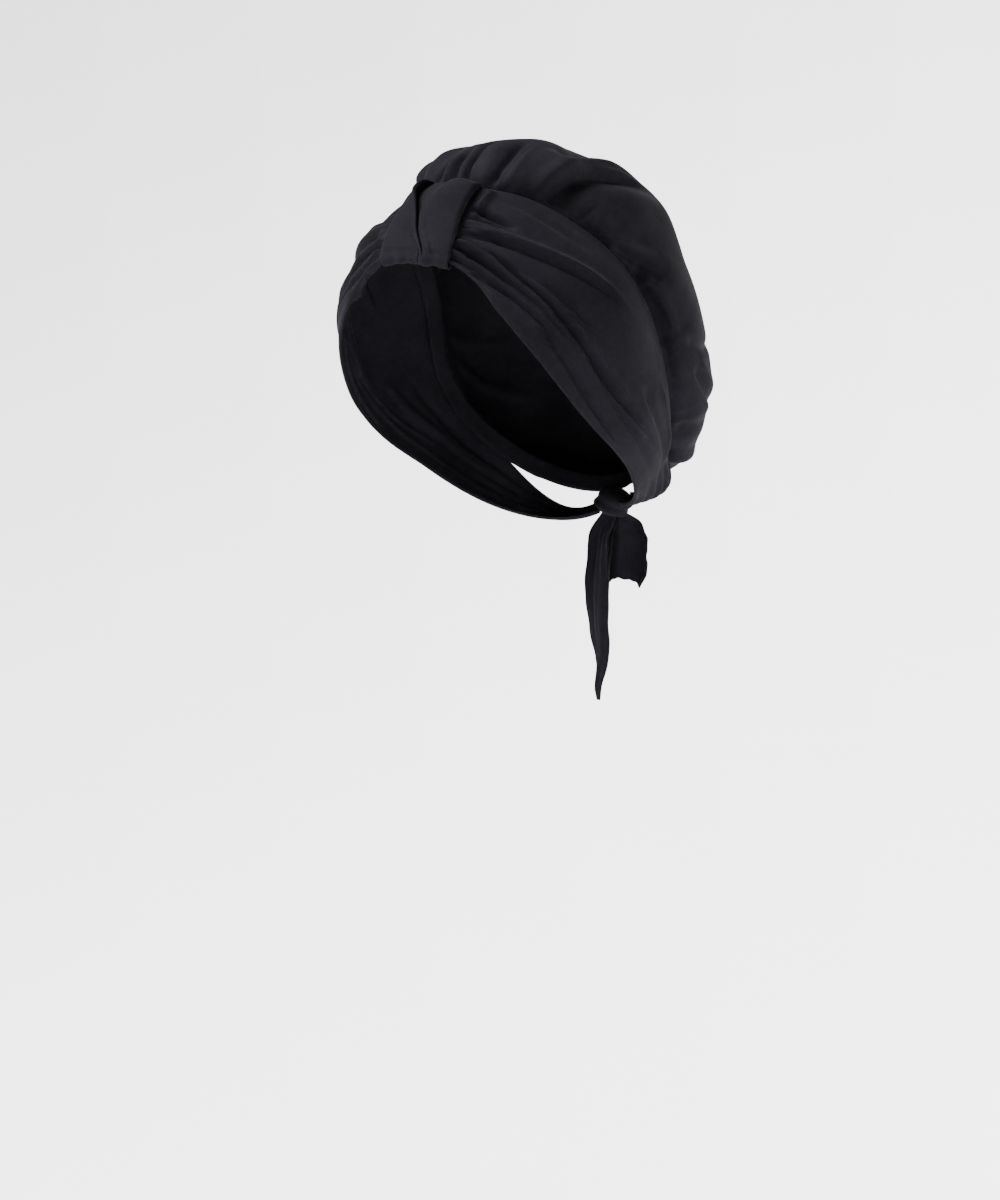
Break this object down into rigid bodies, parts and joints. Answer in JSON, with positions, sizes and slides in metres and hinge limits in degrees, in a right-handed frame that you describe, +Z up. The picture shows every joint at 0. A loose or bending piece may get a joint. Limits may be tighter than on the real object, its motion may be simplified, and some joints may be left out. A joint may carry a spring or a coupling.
{
  "type": "turban headwrap",
  "caption": "Soft turban headwrap: a gathered bag crown, a wide folded band with a looped front strip, and two free ends tied at the nape.",
  "frame": {"origin": "middle of the head that it is worn on, level with the brow", "axes": "+Z up, the front faces -Y, +X towards the wearer's left"},
  "size_m": [0.1824, 0.2158, 0.3093],
  "materials": {
    "dark_cloth": "soft matte, near black with a slight violet-grey cast"
  },
  "bodies": {
    "root": {"crown": "dark_cloth", "band": "dark_cloth", "front_loop": "dark_cloth", "nape_knot": "dark_cloth", "tie_tail_short": "dark_cloth", "tie_tail_long": "dark_cloth"}
  },
  "joints": []
}
